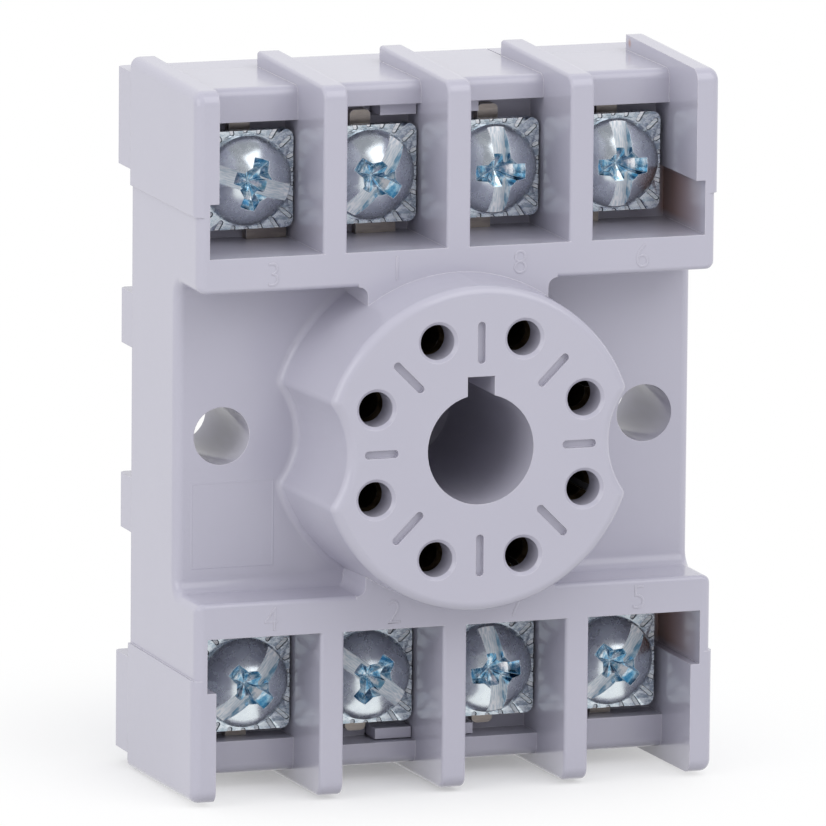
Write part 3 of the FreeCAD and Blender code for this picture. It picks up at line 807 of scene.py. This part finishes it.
for number in TERMINALS:
    letters = bpy.data.curves.new(f"digit_{number}", "FONT")
    letters.body = raised_numbers[number]
    letters.size = 1.0
    letters.offset = stroke_offset
    letters.extrude = stroke_extrude
    letters.align_x = "CENTER"
    holder = add_piece("digit_source", letters)
    graph = bpy.context.evaluated_depsgraph_get()
    digit_mesh = bpy.data.meshes.new_from_object(holder.evaluated_get(graph), depsgraph=graph)
    bpy.data.objects.remove(holder)
    points = [vertex.co for vertex in digit_mesh.vertices]
    low = Vector([min(p[i] for p in points) for i in range(3)])
    high = Vector([max(p[i] for p in points) for i in range(3)])
    digit_mesh.transform(Matrix.Translation(-(low + high) / 2))
    scale = digit_height / (high.y - low.y)
    flat_scale = 2 * digit_relief / (high.z - low.z)
    digit_mesh.transform(Matrix.Diagonal((scale * digit_narrowing, scale, flat_scale, 1.0)))
    digit_mesh.materials.clear()
    digit_mesh.materials.append(body_plastic)
    bay = middle_of(f"pressure_plate_{number}")
    side = math.copysign(1, bay.z)
    digit_mesh.transform(standing_on_front(bay.x, y_front, side * bar_middle))
    digit = add_piece(f"number_{number}", digit_mesh)
    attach(digit, "socket_body")
print("numbers set, strokes of", len(digit_mesh.polygons), "faces in the last")

# %% [markdown]
# ## Floor, lamps and sky
# The socket stands on a pale floor in a white studio. A large softbox hangs above the front, a
# second one lights the left side, and the sky fills the rest. Close to the socket the floor is
# matte paint that takes a shadow. Further out, and in every mirror, it is plain white, as the sky
# is behind it, so no horizon shows. Zinc mirrors whatever is around it, so a wide grey room in
# front of the socket, which only reflections can see, gives the domes their dark middle tone, as a
# photographer's grey card does.

# %% Helper: rays that look
def looking_rays(tree):
    """Light Path sockets, and a mask of the rays that show a thing instead of lighting by it."""
    rays = put(tree, "ShaderNodeLightPath").outputs
    seen = math_node(tree, "ADD", rays["Is Camera Ray"], rays["Is Glossy Ray"])
    return rays, math_node(tree, "ADD", seen, rays["Is Transmission Ray"], clamp=True)


# %% Floor
floor_z = housing_low.z
floor_radius = 0.9
floor_sides = 64
floor_roughness = 0.9
floor_white = (0.97, 0.97, 0.97, 1.0)
FLOOR_BOUNCE = 0.65
bounce_grey = (FLOOR_BOUNCE, FLOOR_BOUNCE, FLOOR_BOUNCE, 1.0)
white_start = 0.018
white_end = 0.05

rim = [2 * math.pi * i / floor_sides for i in range(floor_sides)]
floor_points = [(floor_radius * math.cos(a), floor_radius * math.sin(a), floor_z) for a in rim]
floor = add_piece("floor", mesh_from("floor", floor_points, [list(range(floor_sides))]))
floor_paint = bpy.data.materials.new("floor_paint")
floor_paint.use_nodes = True
tree = floor_paint.node_tree
floor_shader = tree.nodes["Principled BSDF"]
floor_shader.inputs["Roughness"].default_value = floor_roughness
white = put(tree, "ShaderNodeEmission", {"Color": (1.0, 1.0, 1.0, 1.0), "Strength": 1.0})
rays, seen = looking_rays(tree)
join(tree, blend_colours(tree, seen, bounce_grey, floor_white), floor_shader.inputs["Base Color"])
place = put(tree, "ShaderNodeTexCoord")
length = put(tree, "ShaderNodeVectorMath", operation="LENGTH")
join(tree, place.outputs["Object"], length.inputs[0])
far = put(tree, "ShaderNodeMapRange", {"From Min": white_start, "From Max": white_end})
far.interpolation_type = "SMOOTHSTEP"
join(tree, length.outputs["Value"], far.inputs["Value"])
mixer = put(tree, "ShaderNodeMixShader")
mirrored = math_node(tree, "MAXIMUM", far.outputs[0], rays["Is Glossy Ray"])
join(tree, math_node(tree, "MULTIPLY", seen, mirrored), mixer.inputs[0])
join(tree, floor_shader.outputs[0], mixer.inputs[1])
join(tree, white.outputs[0], mixer.inputs[2])
join(tree, mixer.outputs[0], tree.nodes["Material Output"].inputs["Surface"])
floor.data.materials.append(floor_paint)
print("floor at", round(floor_z / MM, 2), "mm")

# %% Sky: soft light for the object, white behind it
SKY = 0.86
world = bpy.data.worlds.new("studio_sky")
bpy.context.scene.world = world
world.use_nodes = True
tree = world.node_tree
tree.nodes.clear()
sky = put(tree, "ShaderNodeBackground", {"Color": (0.97, 0.98, 1.0, 1.0), "Strength": SKY})
backdrop = put(tree, "ShaderNodeBackground", {"Color": (1.0, 1.0, 1.0, 1.0), "Strength": 1.0})
mixer = put(tree, "ShaderNodeMixShader")
join(tree, looking_rays(tree)[1], mixer.inputs[0])
join(tree, sky.outputs[0], mixer.inputs[1])
join(tree, backdrop.outputs[0], mixer.inputs[2])
output = put(tree, "ShaderNodeOutputWorld")
join(tree, mixer.outputs[0], output.inputs["Surface"])
print("sky of strength", SKY)

# %% Grey room that only reflections see
room_radius = 3.0
room_opening = 0.35 * room_radius
room_grey = 0.38
room_blue = 1.06 * room_grey
room_build = bmesh.new()
bmesh.ops.create_uvsphere(room_build, u_segments=48, v_segments=24, radius=room_radius)
rear = [face for face in room_build.faces if face.calc_center_median().y > room_opening]
bmesh.ops.delete(room_build, geom=rear, context="FACES")
room_mesh = bpy.data.meshes.new("grey_room")
room_build.to_mesh(room_mesh)
room_build.free()
room = add_piece("grey_room", room_mesh)
room_paint = bpy.data.materials.new("room_paint")
room_paint.use_nodes = True
tree = room_paint.node_tree
tree.nodes.clear()
lamp = put(tree, "ShaderNodeEmission", {"Color": (room_grey, room_grey, room_blue, 1.0)})
output = put(tree, "ShaderNodeOutputMaterial")
join(tree, lamp.outputs[0], output.inputs["Surface"])
room_mesh.materials.append(room_paint)
for ray in ("camera", "diffuse", "transmission", "volume_scatter", "shadow"):
    setattr(room, f"visible_{ray}", False)
print("grey room of", len(room_mesh.polygons), "faces")


# %% Lamps
def softbox(name, direction, distance, width, height, power):
    """Area lamp that looks at the object from a direction."""
    lamp = bpy.data.lights.new(name, "AREA")
    lamp.shape = "RECTANGLE"
    lamp.size = width
    lamp.size_y = height
    lamp.energy = power
    holder = add_piece(name, lamp)
    towards = Vector(direction).normalized()
    holder.location = towards * distance
    holder.rotation_mode = "QUATERNION"
    holder.rotation_quaternion = (-towards).to_track_quat("-Z", "Y")
    print(name, "of", power, "W")


softbox("top_softbox", (0.38, -0.60, 0.70), distance=0.6, width=0.56, height=0.46, power=1.2)
softbox("left_softbox", (-0.88, -0.30, 0.36), distance=0.7, width=0.5, height=0.5, power=1.35)

# %% [markdown]
# ## Camera
# The view was taken from the photograph: the vanishing of the edges gives a long lens about a
# metre away, a little to the left and above, with half a degree of roll. The aim point is the axis
# of the boss at the front of the bars, and it lies a little right of and below the middle.

# %% Camera at the photograph's angle
camera_azimuth = math.radians(-19.3)
camera_elevation = math.radians(10.5)
camera_roll = math.radians(0.5)
camera_distance = 1.0
picture_size = 826
focal_pixels = 13630.0
aim_pixel = (457.2, 436.8)

back = Vector((
    math.sin(camera_azimuth) * math.cos(camera_elevation),
    -math.cos(camera_azimuth) * math.cos(camera_elevation),
    math.sin(camera_elevation)))
level_right = (-back).cross(Vector((0, 0, 1))).normalized()
level_up = level_right.cross(-back)
right = math.cos(camera_roll) * level_right + math.sin(camera_roll) * level_up
up = -math.sin(camera_roll) * level_right + math.cos(camera_roll) * level_up
aim = Vector((0, y_front, 0))
step_right = -(aim_pixel[0] - picture_size / 2) / focal_pixels * camera_distance
step_up = (aim_pixel[1] - picture_size / 2) / focal_pixels * camera_distance
stand = aim + back * camera_distance + right * step_right + up * step_up

view = bpy.data.cameras.new("photo_camera")
view.sensor_width = 36.0
view.lens = focal_pixels / picture_size * view.sensor_width
view.clip_start = 0.1
view.clip_end = 20.0
camera = add_piece("photo_camera", view)
camera.matrix_world = Matrix((
    (right.x, up.x, back.x, stand.x),
    (right.y, up.y, back.y, stand.y),
    (right.z, up.z, back.z, stand.z),
    (0, 0, 0, 1)))
bpy.context.scene.camera = camera
bpy.context.scene.view_settings.view_transform = "Standard"
print("lens", round(view.lens), "mm at", camera_distance, "m")
